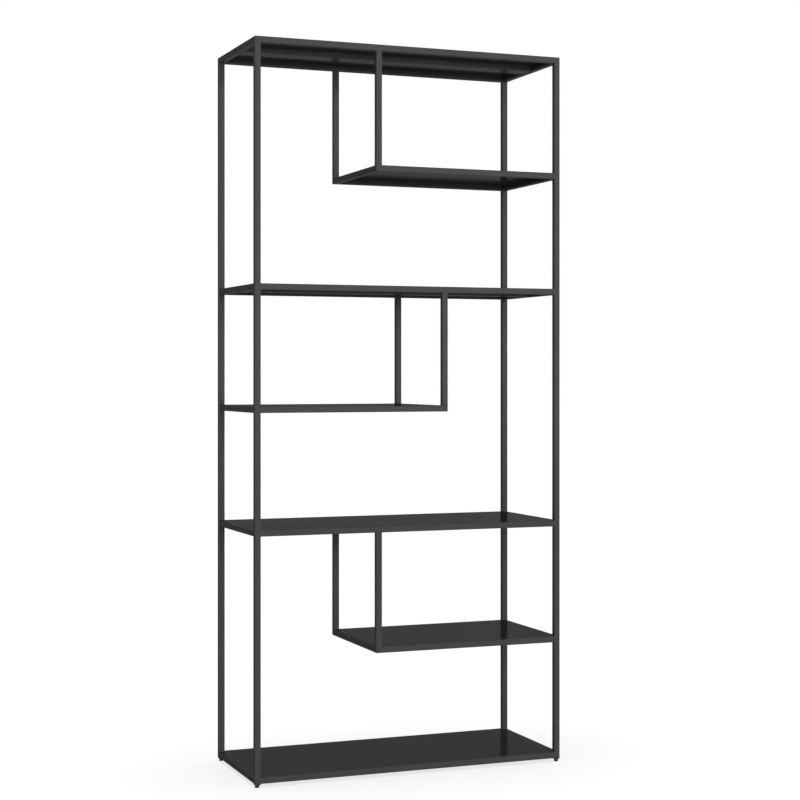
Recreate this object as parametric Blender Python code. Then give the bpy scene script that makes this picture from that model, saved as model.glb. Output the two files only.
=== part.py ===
"""Tall black steel etagere: a welded square-tube frame with seven sheet shelves on levelling glides.

The unit stands on its glides at z = 0, and its origin is the middle of its footprint.
X runs along the width, Y from the front (-Y) to the back, and Z up. Sizes are in metres.
Shelves are numbered from the top down. Shelves 2, 4 and 6 are short: each hangs from the shelf
above on a pair of divider posts at its free end.
"""
import math
from dataclasses import dataclass

import bmesh
import bpy
from mathutils import Vector

# Overall frame
WIDTH = 0.800
DEPTH = 0.360
SHELF_PITCH = 0.296
SHORT_SHELF_WIDTH = 0.494

# Side that each shelf is carried on, from the top shelf down: both posts, or only one pair of them
SHELF_SIDES = ("both", "right", "both", "left", "both", "right", "both")

# Square tube of the posts, rails and dividers
TUBE = 0.015
TUBE_WALL = 0.0012
TUBE_CORNER_RADIUS = 0.0016
SMALLEST_BORE_RADIUS = 0.0003
CORNER_STEPS = 3

# Clearance left at each welded or seated joint
JOINT_GAP = 0.0003

# Points of a mesh closer than this are one point
WELD_DISTANCE = 0.000001

# Folded sheet panel, whose top is flush with the rails
SHEET = 0.0010
PANEL_EDGE_DEPTH = 0.010
PANEL_BEND_RADIUS = 0.0010
PANEL_BEND_STEPS = 3

# Hat-section stiffener under the middle of each full shelf
STIFFENER_WIDTH = 0.058
STIFFENER_LIP = 0.012
STIFFENER_RECESS = 0.0008
STIFFENER_BEND_RADIUS = 0.0010
STIFFENER_BEND_STEPS = 2

# Tapered foot plug, pressed into the lower end of each post
FOOT_TAPER_HEIGHT = 0.0048
FOOT_TIP_RADIUS = 0.0056
PLUG_SHANK_LENGTH = 0.014
PLUG_CORNER_RADIUS = 0.0008
PLUG_CORNER_STEPS = 5
THREAD_CLEARANCE = 0.0001

# Levelling glide, screwed up into the foot plug
STUD_RADIUS = 0.0030
STUD_CHAMFER = 0.0006
STUD_ENGAGEMENT = 0.014
GLIDE_TRAVEL = 0.008
GLIDE_HEIGHT = 0.0036
GLIDE_RADIUS = 0.0052
GLIDE_FOOTPRINT_RADIUS = 0.0048
GLIDE_EDGE_RADIUS = 0.0006
GLIDE_EDGE_STEPS = 3
GLIDE_SIDES = 24

# Faces that meet at less than this angle are shaded as one round surface
SMOOTH_ANGLE = math.radians(40.0)

# Places worked out from the sizes above
PLUG_BOTTOM = GLIDE_HEIGHT + JOINT_GAP
FRAME_BASE = PLUG_BOTTOM + FOOT_TAPER_HEIGHT + JOINT_GAP
HEIGHT = FRAME_BASE + TUBE + SHELF_PITCH * (len(SHELF_SIDES) - 1)
LEFT = -WIDTH / 2
RIGHT = WIDTH / 2
FRONT = -DEPTH / 2
BACK = DEPTH / 2
MITRE_CUT_BACK = JOINT_GAP / math.sqrt(2)

# Place and outward direction of each side of the frame
X_SIDES = {"left": (LEFT, -1), "right": (RIGHT, 1)}
Y_SIDES = {"front": (FRONT, -1), "back": (BACK, 1)}


@dataclass(frozen=True)
class Finish:
    """Colour and sheen of one kind of piece."""

    name: str
    colour: tuple
    roughness: float
    metallic: float = 0.0


FRAME_FINISH = Finish("black_powder_coat", (0.071, 0.071, 0.071), 0.50)
PANEL_FINISH = Finish("black_sheet_coat", (0.053, 0.050, 0.048), 0.50)
PLUG_FINISH = Finish("foot_plug_coat", (0.062, 0.062, 0.062), 0.45)
GLIDE_FINISH = Finish("black_nylon", (0.008, 0.008, 0.008), 0.55)


@dataclass(frozen=True)
class Shelf:
    """One shelf: its place, and which pairs of corner posts carry it."""

    number: int
    top: float
    side: str

    @property
    def name(self):
        """Start of the names of the shelf's pieces."""
        return f"shelf_{self.number}"

    @property
    def full(self):
        """True if the shelf reaches from post to post."""
        return self.side == "both"

    @property
    def crowns(self):
        """True for the top shelf, whose mitred rails close the posts."""
        return self.number == 1

    @property
    def outer(self):
        """Outer faces of the shelf's frame, left and right."""
        left = RIGHT - SHORT_SHELF_WIDTH if self.side == "right" else LEFT
        right = LEFT + SHORT_SHELF_WIDTH if self.side == "left" else RIGHT
        return left, right

    @property
    def free_end(self):
        """Outer face of the free end and its outward direction, or None on a full shelf."""
        if self.full:
            return None
        left, right = self.outer
        return (left, -1) if self.side == "right" else (right, 1)

    @property
    def mitred(self):
        """Whether the left and right ends of the front and back rails are mitred."""
        return self.crowns or self.side == "right", self.crowns or self.side == "left"


def clear_scene():
    """Remove every object, so that only this model is left."""
    for item in list(bpy.data.objects):
        bpy.data.objects.remove(item, do_unlink=True)


def make_material(finish, piece_name):
    """A Principled material of its own for one piece."""
    material = bpy.data.materials.new(f"{finish.name}_{piece_name}")
    material.use_nodes = True
    shader = material.node_tree.nodes["Principled BSDF"]
    shader.inputs["Base Color"].default_value = (*finish.colour, 1.0)
    shader.inputs["Roughness"].default_value = finish.roughness
    shader.inputs["Metallic"].default_value = finish.metallic
    return material


def add_piece(name, bm, finish, location=(0.0, 0.0, 0.0)):
    """Turn a bmesh into a named object with outward faces and its own material."""
    bmesh.ops.recalc_face_normals(bm, faces=bm.faces)
    mesh = bpy.data.meshes.new(name)
    bm.to_mesh(mesh)
    bm.free()
    mesh.shade_smooth()
    mesh.set_sharp_from_angle(angle=SMOOTH_ANGLE)
    mesh.materials.append(make_material(finish, name))
    piece = bpy.data.objects.new(name, mesh)
    piece.location = location
    bpy.context.scene.collection.objects.link(piece)


def rounded_square(side, radius, steps):
    """Points of a square with round corners, anticlockwise, with steps + 1 points in each corner."""
    reach = side / 2 - radius
    points = []
    for corner in range(4):
        middle = math.radians(45 + 90 * corner)
        centre_u = math.copysign(reach, math.cos(middle))
        centre_v = math.copysign(reach, math.sin(middle))
        for step in range(steps + 1):
            angle = math.radians(90 * corner + 90 * step / steps)
            points.append((centre_u + radius * math.cos(angle), centre_v + radius * math.sin(angle)))
    return points


def even_circle(radius, count):
    """Points of a circle, anticlockwise, set so that they face those of a rounded square."""
    half_step = math.pi / count
    angles = [2 * math.pi * index / count + half_step for index in range(count)]
    return [(radius * math.cos(angle), radius * math.sin(angle)) for angle in angles]


def join_rings(rings):
    """A solid with a hole right through it: each ring is joined to the next, and the last to the first."""
    bm = bmesh.new()
    rows = [[bm.verts.new(point) for point in ring] for ring in rings]
    for row, following in zip(rows, rows[1:] + rows[:1]):
        for index, corner in enumerate(row):
            after = (index + 1) % len(row)
            bm.faces.new((corner, row[after], following[after], following[index]))
    return bm


def add_tube(name, axis, centre, ends, outward=0, mitred=(False, False)):
    """A length of square tube along X, Y or Z.

    centre holds the centre line's other two coordinates, in X, Y, Z order. ends are the low and high
    ends, and a mitred end is given at its outer corner. outward is the side, -1 or 1, that the long
    face of a mitred tube is on.
    """
    low, high = ends
    slopes = [0, 0]
    if mitred[0]:
        low += TUBE / 2 + MITRE_CUT_BACK
        slopes[0] = -outward
    if mitred[1]:
        high -= TUBE / 2 + MITRE_CUT_BACK
        slopes[1] = outward
    outline = rounded_square(TUBE, TUBE_CORNER_RADIUS, CORNER_STEPS)
    bore_radius = max(TUBE_CORNER_RADIUS - TUBE_WALL, SMALLEST_BORE_RADIUS)
    bore = rounded_square(TUBE - 2 * TUBE_WALL, bore_radius, CORNER_STEPS)

    def place(section, end, slope):
        """The section's points at one end of the tube, in the unit's own axes."""
        points = []
        for across, up in section:
            along = end + slope * across
            point = [centre[0] + across, centre[1] + up]
            point.insert("XYZ".index(axis), along)
            points.append(Vector(point))
        return points

    rings = [
        place(outline, low, slopes[0]),
        place(outline, high, slopes[1]),
        place(bore, high, slopes[1]),
        place(bore, low, slopes[0]),
    ]
    add_piece(name, join_rings(rings), FRAME_FINISH)


def add_posts():
    """Four corner posts, from the foot plugs to the underside of the mitred top frame."""
    ends = (FRAME_BASE, HEIGHT - TUBE - JOINT_GAP)
    for y_name, (y_face, y_out) in Y_SIDES.items():
        for x_name, (x_face, x_out) in X_SIDES.items():
            centre = (x_face - x_out * TUBE / 2, y_face - y_out * TUBE / 2)
            add_tube(f"post_{y_name}_{x_name}", "Z", centre, ends)


def add_long_rails(shelf):
    """Front and back rails of a shelf, butted to the posts or mitred where there is no post."""
    left, right = shelf.outer
    mitred = shelf.mitred
    low = left if mitred[0] else left + TUBE + JOINT_GAP
    high = right if mitred[1] else right - TUBE - JOINT_GAP
    for y_name, (y_face, y_out) in Y_SIDES.items():
        centre = (y_face - y_out * TUBE / 2, shelf.top - TUBE / 2)
        add_tube(f"{shelf.name}_{y_name}_rail", "X", centre, (low, high), y_out, mitred)


def add_cross_rail(name, shelf, face, outward, mitred):
    """One rail from front to back, with its outer side at the given face."""
    inset = 0.0 if mitred else TUBE + JOINT_GAP
    centre = (face - outward * TUBE / 2, shelf.top - TUBE / 2)
    ends = (FRONT + inset, BACK - inset)
    add_tube(name, "Y", centre, ends, outward, (mitred, mitred))


def add_cross_rails(shelf):
    """Side rails between the posts, and the mitred rail at a short shelf's free end."""
    for x_name, (x_face, x_out) in X_SIDES.items():
        if shelf.side in ("both", x_name):
            add_cross_rail(f"{shelf.name}_{x_name}_rail", shelf, x_face, x_out, shelf.crowns)
    if shelf.free_end:
        face, outward = shelf.free_end
        add_cross_rail(f"{shelf.name}_end_rail", shelf, face, outward, True)


def add_dividers(shelf):
    """Divider posts, front and back, from a short shelf's free end up to the shelf above."""
    face, outward = shelf.free_end
    above = shelf.top + SHELF_PITCH - TUBE
    ends = (shelf.top + JOINT_GAP, above - JOINT_GAP)
    for y_name, (y_face, y_out) in Y_SIDES.items():
        centre = (face - outward * TUBE / 2, y_face - y_out * TUBE / 2)
        add_tube(f"{shelf.name}_{y_name}_divider", "Z", centre, ends)


def panel_limits(shelf):
    """Left, right, front and back edges of a shelf's panel, inside its rails."""
    left, right = shelf.outer
    inset = TUBE + JOINT_GAP
    return left + inset, right - inset, FRONT + inset, BACK - inset


def add_panel(shelf):
    """Sheet panel with its four edges folded down, set flush between the rails."""
    left, right, front, back = panel_limits(shelf)
    bm = bmesh.new()
    bmesh.ops.create_cube(bm, size=1.0)
    bmesh.ops.scale(bm, vec=(right - left, back - front, PANEL_EDGE_DEPTH), verts=bm.verts)
    bm.normal_update()
    underside = min(bm.faces, key=lambda face: face.calc_center_median().z)
    bmesh.ops.inset_region(bm, faces=[underside], thickness=SHEET, use_even_offset=True)
    bmesh.ops.translate(bm, vec=(0.0, 0.0, PANEL_EDGE_DEPTH - SHEET), verts=underside.verts)
    top = max(bm.faces, key=lambda face: face.calc_center_median().z)
    bmesh.ops.bevel(
        bm, geom=list(top.edges), offset=PANEL_BEND_RADIUS, offset_type="OFFSET",
        segments=PANEL_BEND_STEPS, profile=0.5, affect="EDGES", clamp_overlap=True,
    )
    centre = Vector(((left + right) / 2, (front + back) / 2, shelf.top - PANEL_EDGE_DEPTH / 2))
    bmesh.ops.translate(bm, vec=centre, verts=bm.verts)
    add_piece(f"{shelf.name}_panel", bm, PANEL_FINISH)


def add_stiffener(shelf):
    """Hat-section stiffener, lips up against the sheet, between the panel's end folds."""
    left, right, _, _ = panel_limits(shelf)
    start = left + SHEET + JOINT_GAP
    end = right - SHEET - JOINT_GAP
    top = shelf.top - SHEET - JOINT_GAP
    bottom = shelf.top - TUBE + STIFFENER_RECESS
    half = STIFFENER_WIDTH / 2
    right_half = [
        (half - SHEET, bottom + SHEET),
        (half - SHEET, top),
        (half + STIFFENER_LIP, top),
        (half + STIFFENER_LIP, top - SHEET),
        (half, top - SHEET),
        (half, bottom),
    ]
    outline = right_half + [(-y, z) for y, z in reversed(right_half)]
    bm = bmesh.new()
    section = bm.faces.new([bm.verts.new((start, y, z)) for y, z in outline])
    swept = bmesh.ops.extrude_face_region(bm, geom=[section])
    far_corners = [item for item in swept["geom"] if isinstance(item, bmesh.types.BMVert)]
    bmesh.ops.translate(bm, vec=(end - start, 0.0, 0.0), verts=far_corners)
    folds = [edge for edge in bm.edges if is_stiffener_fold(edge, bottom)]
    bmesh.ops.bevel(
        bm, geom=folds, offset=STIFFENER_BEND_RADIUS, offset_type="OFFSET",
        segments=STIFFENER_BEND_STEPS, profile=0.5, affect="EDGES", clamp_overlap=True,
    )
    add_piece(f"{shelf.name}_stiffener", bm, FRAME_FINISH)


def is_stiffener_fold(edge, bottom):
    """True for the two long edges at the stiffener's lowest corners."""
    first, second = edge.verts
    lengthways = abs(first.co.x - second.co.x) > STIFFENER_WIDTH
    at_bottom = max(first.co.z, second.co.z) < bottom + SHEET / 2
    return lengthways and at_bottom


def add_foot_plug(name, centre):
    """Tapered plug: square like the tube at its top, round at its tip, threaded right through."""
    corner_points = 4 * (PLUG_CORNER_STEPS + 1)
    shank_side = TUBE - 2 * TUBE_WALL - 2 * JOINT_GAP
    shoulder = FRAME_BASE - JOINT_GAP
    shank_top = shoulder + PLUG_SHANK_LENGTH
    tip = even_circle(FOOT_TIP_RADIUS, corner_points)
    brim = rounded_square(TUBE, TUBE_CORNER_RADIUS, PLUG_CORNER_STEPS)
    shank = rounded_square(shank_side, PLUG_CORNER_RADIUS, PLUG_CORNER_STEPS)
    bore = even_circle(STUD_RADIUS + THREAD_CLEARANCE, corner_points)
    levels = [
        (bore, PLUG_BOTTOM),
        (tip, PLUG_BOTTOM),
        (brim, shoulder),
        (shank, shoulder),
        (shank, shank_top),
        (bore, shank_top),
    ]
    rings = [[Vector((x, y, height)) for x, y in points] for points, height in levels]
    add_piece(name, join_rings(rings), PLUG_FINISH, (*centre, 0.0))


def glide_profile():
    """Radius and height of the glide's outline, from the middle of its foot to the tip of its stud."""
    stud_top = GLIDE_HEIGHT + STUD_ENGAGEMENT + GLIDE_TRAVEL
    profile = [(0.0, 0.0)]
    for step in range(GLIDE_EDGE_STEPS + 1):
        angle = math.radians(90 * step / GLIDE_EDGE_STEPS)
        radius = GLIDE_FOOTPRINT_RADIUS - GLIDE_EDGE_RADIUS * (1 - math.sin(angle))
        profile.append((radius, GLIDE_EDGE_RADIUS * (1 - math.cos(angle))))
    profile += [
        (GLIDE_RADIUS, GLIDE_HEIGHT - GLIDE_EDGE_RADIUS),
        (GLIDE_RADIUS - GLIDE_EDGE_RADIUS, GLIDE_HEIGHT),
        (STUD_RADIUS, GLIDE_HEIGHT),
        (STUD_RADIUS, stud_top - STUD_CHAMFER),
        (STUD_RADIUS - STUD_CHAMFER, stud_top),
        (0.0, stud_top),
    ]
    return profile


def add_glide(name, centre):
    """Turned glide with its stud, whose origin is on the axis that it screws along."""
    bm = bmesh.new()
    corners = [bm.verts.new((radius, 0.0, height)) for radius, height in glide_profile()]
    edges = [bm.edges.new(pair) for pair in zip(corners, corners[1:])]
    bmesh.ops.spin(
        bm, geom=corners + edges, cent=(0.0, 0.0, 0.0), axis=(0.0, 0.0, 1.0),
        angle=2 * math.pi, steps=GLIDE_SIDES, use_merge=True,
    )
    bmesh.ops.remove_doubles(bm, verts=bm.verts, dist=WELD_DISTANCE)
    add_piece(name, bm, GLIDE_FINISH, (*centre, 0.0))


def add_feet():
    """A foot plug and a levelling glide under each post."""
    for y_name, (y_face, y_out) in Y_SIDES.items():
        for x_name, (x_face, x_out) in X_SIDES.items():
            centre = (x_face - x_out * TUBE / 2, y_face - y_out * TUBE / 2)
            add_foot_plug(f"foot_plug_{y_name}_{x_name}", centre)
            add_glide(f"levelling_glide_{y_name}_{x_name}", centre)


def main():
    """Build the whole unit."""
    clear_scene()
    add_posts()
    for index, side in enumerate(SHELF_SIDES):
        shelf = Shelf(index + 1, HEIGHT - index * SHELF_PITCH, side)
        add_long_rails(shelf)
        add_cross_rails(shelf)
        add_panel(shelf)
        if shelf.full:
            add_stiffener(shelf)
        else:
            add_dividers(shelf)
    add_feet()


main()
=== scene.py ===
"""Tall black steel etagere, dressed: square-tube frame, seven sheet shelves, tapered feet.

Everything is in metres, in the unit's own frame: X to the right, Y to the back, Z up, with the
origin on the floor in the middle of the footprint. Each piece takes its place from the solids.
"""
import logging
import math
from dataclasses import dataclass
from enum import Enum
from functools import cache
from typing import Any, Iterable

import bpy
import numpy as np
from bpy.types import ID, Material, Node, NodeSocket, NodeTree, Object
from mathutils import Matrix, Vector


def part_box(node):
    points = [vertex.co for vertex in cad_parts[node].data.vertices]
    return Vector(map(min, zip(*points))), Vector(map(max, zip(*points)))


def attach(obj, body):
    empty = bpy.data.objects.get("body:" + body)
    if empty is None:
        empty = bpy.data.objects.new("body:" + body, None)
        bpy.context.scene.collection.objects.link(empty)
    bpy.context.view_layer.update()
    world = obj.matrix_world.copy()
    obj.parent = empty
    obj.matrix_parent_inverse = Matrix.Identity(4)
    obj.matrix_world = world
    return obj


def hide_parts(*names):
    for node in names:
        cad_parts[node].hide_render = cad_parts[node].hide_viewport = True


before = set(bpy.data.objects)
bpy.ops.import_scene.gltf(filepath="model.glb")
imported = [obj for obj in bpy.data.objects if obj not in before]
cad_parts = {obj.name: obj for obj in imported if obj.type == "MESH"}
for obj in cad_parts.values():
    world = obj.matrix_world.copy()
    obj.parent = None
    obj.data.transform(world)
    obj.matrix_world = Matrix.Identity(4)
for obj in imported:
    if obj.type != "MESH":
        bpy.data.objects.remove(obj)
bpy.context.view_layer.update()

LOG = logging.getLogger("etagere")

# Square tube of the posts, rails and dividers
TUBE = 0.015
TUBE_WALL = 0.0012
CORNER_RADIUS = 0.0016
BORE_RADIUS = 0.0004
CORNER_STEPS = 6

# Distance past a bend at which a flat has its first points, so that it shades flat
SUPPORT = 0.00025

# Clearance that the solids leave at a welded joint, closed here by the weld
JOINT_GAP = 0.0003

# Sheet of the panels and stiffeners
SHEET = 0.0010

# The unit's sides, as its solids' names give them, and the direction that each faces
X_OUT = {"left": -1, "right": 1}
Y_OUT = {"front": -1, "back": 1}

# Body that all but the glides' pieces ride on
FRAME_BODY = "frame"

# Faces that meet at less than this angle shade as one round surface
SMOOTH_ANGLE = math.radians(38.0)

# Keeps a divisor above 0
TINY = 1e-12

Array = np.ndarray
Colour = tuple[float, float, float]
Span = tuple[float, float]


class Axis(Enum):
    """Direction that a tube runs in."""

    X = 0
    Y = 1
    Z = 2


class Cut(Enum):
    """How one end of a tube is cut, and how far it grows past its solid to close the joint."""

    PLAIN = 0.0
    COPED = JOINT_GAP
    MITRED = JOINT_GAP / math.sqrt(2)


class Side(Enum):
    """Side of the unit that a shelf is carried on, as the direction that the side faces."""

    LEFT = -1
    BOTH = 0
    RIGHT = 1


class Reach(Enum):
    """What a lamp lights, as the state that the floor has in its light linking."""

    FLOOR_ALONE = "INCLUDE"
    ALL_BUT_FLOOR = "EXCLUDE"


# From the top shelf down
SHELF_SIDES = (Side.BOTH, Side.RIGHT, Side.BOTH, Side.LEFT, Side.BOTH, Side.RIGHT, Side.BOTH)


@dataclass
class Shell:
    """A closed surface: points, faces by number of sides, and how sharp the edge is at each point."""

    points: Array
    faces: list[Array]
    edge: Array

    @staticmethod
    def joined(shells: list["Shell"]) -> "Shell":
        """Put several shells into one.

        Args:
            shells: The shells to put together, which may be of different sizes.

        Returns:
            One shell that holds them all.
        """
        starts = np.cumsum([0] + [len(shell.points) for shell in shells[:-1]])
        faces = [part + start for shell, start in zip(shells, starts) for part in shell.faces]
        points = np.concatenate([shell.points for shell in shells])
        return Shell(points, faces, np.concatenate([shell.edge for shell in shells]))

    def outward(self) -> "Shell":
        """Turn the faces to point out of the solid that they bound.

        They do where the volume is above 0. Six times the volume is the sum of the triple
        products of the corners of triangles, fanned from each face's first point.

        Returns:
            The shell, turned if it has to be.
        """
        volume = 0.0
        for part in self.faces:
            corners = self.points[part]
            volume += np.sum(corners[:, :1] * np.cross(corners[:, 1:-1], corners[:, 2:]))
        if volume >= 0.0:
            return self
        return Shell(self.points, [part[:, ::-1] for part in self.faces], self.edge)


def solid_box(node: str) -> Array:
    """Lowest and highest corners of a solid."""
    return np.array([tuple(corner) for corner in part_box(node)])


def quarter_turn(steps: int) -> Array:
    """Angles from 0 to a right angle in equal steps."""
    return np.linspace(0.0, math.pi / 2, steps + 1)


def full_turn(steps: int) -> Array:
    """Angles round a full turn in equal steps, without the last, which is the first again."""
    return np.linspace(0.0, 2 * math.pi, steps, endpoint=False)


def unit_circle(angles: Array) -> Array:
    """Points of a circle of radius 1 at the given angles."""
    return np.column_stack([np.cos(angles), np.sin(angles)])


def raised(places: Array, heights: Array) -> Array:
    """Grid of points from a grid of places in X and Y, and the heights, spread over the grid."""
    return np.dstack([places, np.broadcast_to(heights, places.shape[:2])])


def quads(number: Array, close_rows: bool = False, close_columns: bool = False) -> Array:
    """Faces of a grid of points.

    Args:
        number: Number of each point, rows by columns.
        close_rows: True where the last row joins the first.
        close_columns: True where the last column joins the first.

    Returns:
        One line of four point numbers for each face.
    """
    number = np.pad(number, ((0, int(close_rows)), (0, int(close_columns))), mode="wrap")
    corners = [number[:-1, :-1], number[:-1, 1:], number[1:, 1:], number[1:, :-1]]
    return np.stack(corners, axis=-1).reshape(-1, 4)


def swept(points: Array, edge: Array | float, capped: bool = False) -> Shell:
    """Close a grid of points, a ring in each row, into a shell.

    Args:
        points: Rows of rings, as an array of rows by columns by three.
        edge: How sharp the edge is at each point, spread over the grid.
        capped: True where one face closes each end, False where the last ring joins the first.

    Returns:
        The closed shell, with its faces outward.
    """
    edge = np.broadcast_to(edge, points.shape[:2])
    number = np.arange(edge.size).reshape(edge.shape)
    faces = [quads(number, not capped, True)]
    if capped:
        faces.append(np.stack([number[0, ::-1], number[-1]]))
    return Shell(points.reshape(-1, 3), faces, edge.reshape(-1)).outward()


def square_section(side: float, radius: float) -> tuple[Array, Array]:
    """Rounded square: a quarter circle in each corner, and a point just inside each end of a flat.

    Args:
        side: Width across flats.
        radius: Radius of the corners.

    Returns:
        The points, anticlockwise, and 1 for a point on a corner or 0 for one on a flat.
    """
    arc = radius * unit_circle(quarter_turn(CORNER_STEPS))
    corner = np.concatenate([[[radius, -SUPPORT]], arc, [[-SUPPORT, radius]]]) + (side / 2 - radius)
    turns = [np.array([[c, s], [-s, c]]) for c, s in ((1, 0), (0, 1), (-1, 0), (0, -1))]
    points = np.concatenate([corner @ turn for turn in turns])
    return points, np.tile(np.r_[0.0, np.ones(len(arc)), 0.0], len(turns))


def add_object(name: str, data: ID) -> Object:
    """Put a new object into the scene.

    Args:
        name: Name of the object.
        data: Its mesh, lamp or camera.

    Returns:
        The object, at the origin.
    """
    thing = bpy.data.objects.new(name, data)
    bpy.context.scene.collection.objects.link(thing)
    return thing


def add_piece(name: str, shell: Shell, material: Material,
              replaced: Iterable[str] = (), body: str = FRAME_BODY) -> None:
    """Turn a shell into a named piece with round edges shaded smooth, and hang it on a body.

    Args:
        name: Name of the piece.
        shell: Its closed surface, in its place in the unit.
        material: Its finish.
        replaced: The solids that it stands for.
        body: The body that it rides on.
    """
    mesh = bpy.data.meshes.new(name)
    mesh.from_pydata(shell.points.tolist(), [], [face for part in shell.faces for face in part.tolist()])
    attribute = mesh.attributes.new("edge", "FLOAT", "POINT")
    attribute.data.foreach_set("value", shell.edge.astype(np.float32))
    mesh.materials.append(material)
    mesh.shade_smooth()
    mesh.set_sharp_from_angle(angle=SMOOTH_ANGLE)
    piece = add_object(name, mesh)
    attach(piece, body)
    if replaced:
        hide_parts(*replaced)
    LOG.info("%s: %d faces, rides on %s", name, len(mesh.polygons), body)


class Graph:
    """Adds nodes to one node tree and joins their sockets."""

    def __init__(self, tree: NodeTree) -> None:
        """Work on the given tree."""
        self.tree = tree

    def feed(self, node: Node, inputs: dict[Any, Any]) -> None:
        """Fill a node's inputs.

        Args:
            node: The node.
            inputs: What each named or numbered input gets: a socket to join, or a value.
        """
        for socket, value in inputs.items():
            if isinstance(value, NodeSocket):
                self.tree.links.new(value, node.inputs[socket])
            else:
                node.inputs[socket].default_value = value

    def add(self, kind: str, inputs: dict[Any, Any] | None = None, **settings: Any) -> Node:
        """Add a node.

        Args:
            kind: Blender's name for the node's type.
            inputs: What its inputs get, as feed() takes it.
            settings: The node's own options.

        Returns:
            The new node.
        """
        node = self.tree.nodes.new(kind)
        for option, value in settings.items():
            setattr(node, option, value)
        self.feed(node, inputs or {})
        return node

    def math(self, operation: str, first: Any, second: Any) -> NodeSocket:
        """Result of a Math node on two sockets or numbers."""
        return self.add("ShaderNodeMath", {0: first, 1: second}, operation=operation).outputs[0]

    def times(self, first: Any, second: Any) -> NodeSocket:
        """Product of two sockets or numbers."""
        return self.math("MULTIPLY", first, second)

    def mean(self, first: Any, second: Any, share: float = 0.5) -> NodeSocket:
        """Weighted mean: a share of the first and the rest of the second."""
        return self.math("ADD", self.times(first, share), self.times(second, 1 - share))

    def span(self, value: Any, source: tuple[Any, Any], target: tuple[Any, Any]) -> NodeSocket:
        """Result of a Map Range node that takes one span of values to another."""
        ends = {"From Min": source[0], "From Max": source[1], "To Min": target[0], "To Max": target[1]}
        return self.add("ShaderNodeMapRange", {"Value": value, **ends}).outputs["Result"]

    def noise(self, position: Any, scale: Any, detail: float) -> NodeSocket:
        """Value of a Noise texture."""
        inputs = {"Vector": position, "Scale": scale, "Detail": detail}
        return self.add("ShaderNodeTexNoise", inputs).outputs[0]

    def blend(self, share: Any, first: Any, second: Any) -> NodeSocket:
        """Colour mixed from two by a share, whose sockets are a Mix node's 0, 6 and 7."""
        return self.add("ShaderNodeMix", {0: share, 6: first, 7: second}, data_type="RGBA").outputs[2]


def effect_group(name: str, inputs: dict[str, str], outputs: dict[str, str]) -> tuple[Graph, Any, Any]:
    """Start a shader node group with named sockets.

    Args:
        name: Name of the effect.
        inputs: Name and kind, Float, Vector or Color, of each input.
        outputs: The same for each output.

    Returns:
        The group's graph, the sockets that its inputs come in by and its Group Output node.
    """
    tree = bpy.data.node_groups.new(name, "ShaderNodeTree")
    for direction, sockets in (("INPUT", inputs), ("OUTPUT", outputs)):
        for socket, kind in sockets.items():
            tree.interface.new_socket(name=socket, in_out=direction, socket_type=f"NodeSocket{kind}")
    graph = Graph(tree)
    return graph, graph.add("NodeGroupInput").outputs, graph.add("NodeGroupOutput")


@cache
def coat_relief() -> NodeTree:
    """Powder coat: orange-peel height on a slow swell, fine specks of gloss, and a cloudy tone.

    Returns:
        The effect's group, built once.
    """
    graph, given, result = effect_group(
        "coat_relief",
        {"Position": "Vector", "Cells Per Metre": "Float", "Colour": "Color", "Thin Colour": "Color",
         "Rough Low": "Float", "Rough High": "Float", "Gloss Low": "Float", "Gloss High": "Float"},
        {"Colour": "Color", "Roughness": "Float", "Gloss": "Float", "Height": "Float"})
    swell_scale, speck_scale, clouds_per_metre, peel_share = 0.21, 3.1, 5.0, 0.35
    haze_span, thin_span = (0.35, 0.65), (0.4, 0.7)
    position, per_metre = given["Position"], given["Cells Per Metre"]
    peel = graph.noise(position, per_metre, detail=1.0)
    swell = graph.noise(position, graph.times(per_metre, swell_scale), detail=0.0)
    specks = graph.noise(position, graph.times(per_metre, speck_scale), detail=1.0)
    clouds = graph.noise(position, clouds_per_metre, detail=3.0)
    haze = graph.mean(specks, clouds)
    thin = graph.span(clouds, thin_span, (0.0, 1.0))
    graph.feed(result, {
        "Height": graph.mean(peel, swell, peel_share),
        "Roughness": graph.span(haze, haze_span, (given["Rough Low"], given["Rough High"])),
        "Gloss": graph.span(haze, haze_span, (given["Gloss High"], given["Gloss Low"])),
        "Colour": graph.blend(thin, given["Colour"], given["Thin Colour"]),
    })
    return graph.tree


@cache
def edge_thinning() -> NodeTree:
    """Where the coat draws thin over a sharp edge: the edge, broken up along its length.

    Returns:
        The effect's group, built once.
    """
    graph, given, result = effect_group(
        "edge_thinning", {"Position": "Vector", "Edge": "Float", "Amount": "Float"}, {"Mask": "Float"})
    patches_per_metre, patch_span, least_wear = 60.0, (0.38, 0.62), 0.15
    patches = graph.noise(given["Position"], patches_per_metre, detail=3.0)
    breaks = graph.span(patches, patch_span, (least_wear, 1.0))
    graph.feed(result, {"Mask": graph.times(graph.times(given["Edge"], breaks), given["Amount"])})
    return graph.tree


@cache
def mould_grain() -> NodeTree:
    """Fine grain of a moulded or cast face: crisp cells under a soft noise, with a matching sheen.

    Returns:
        The effect's group, built once.
    """
    graph, given, result = effect_group(
        "mould_grain",
        {"Position": "Vector", "Cells Per Metre": "Float", "Rough Low": "Float", "Rough High": "Float"},
        {"Roughness": "Float", "Height": "Float"})
    soft_scale, soft_span = 0.4, (0.3, 0.7)
    position, per_metre = given["Position"], given["Cells Per Metre"]
    cells = graph.add("ShaderNodeTexVoronoi", {"Vector": position, "Scale": per_metre})
    soft = graph.noise(position, graph.times(per_metre, soft_scale), detail=3.0)
    graph.feed(result, {
        "Height": graph.mean(cells.outputs["Distance"], soft),
        "Roughness": graph.span(soft, soft_span, (given["Rough Low"], given["Rough High"])),
    })
    return graph.tree


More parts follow.
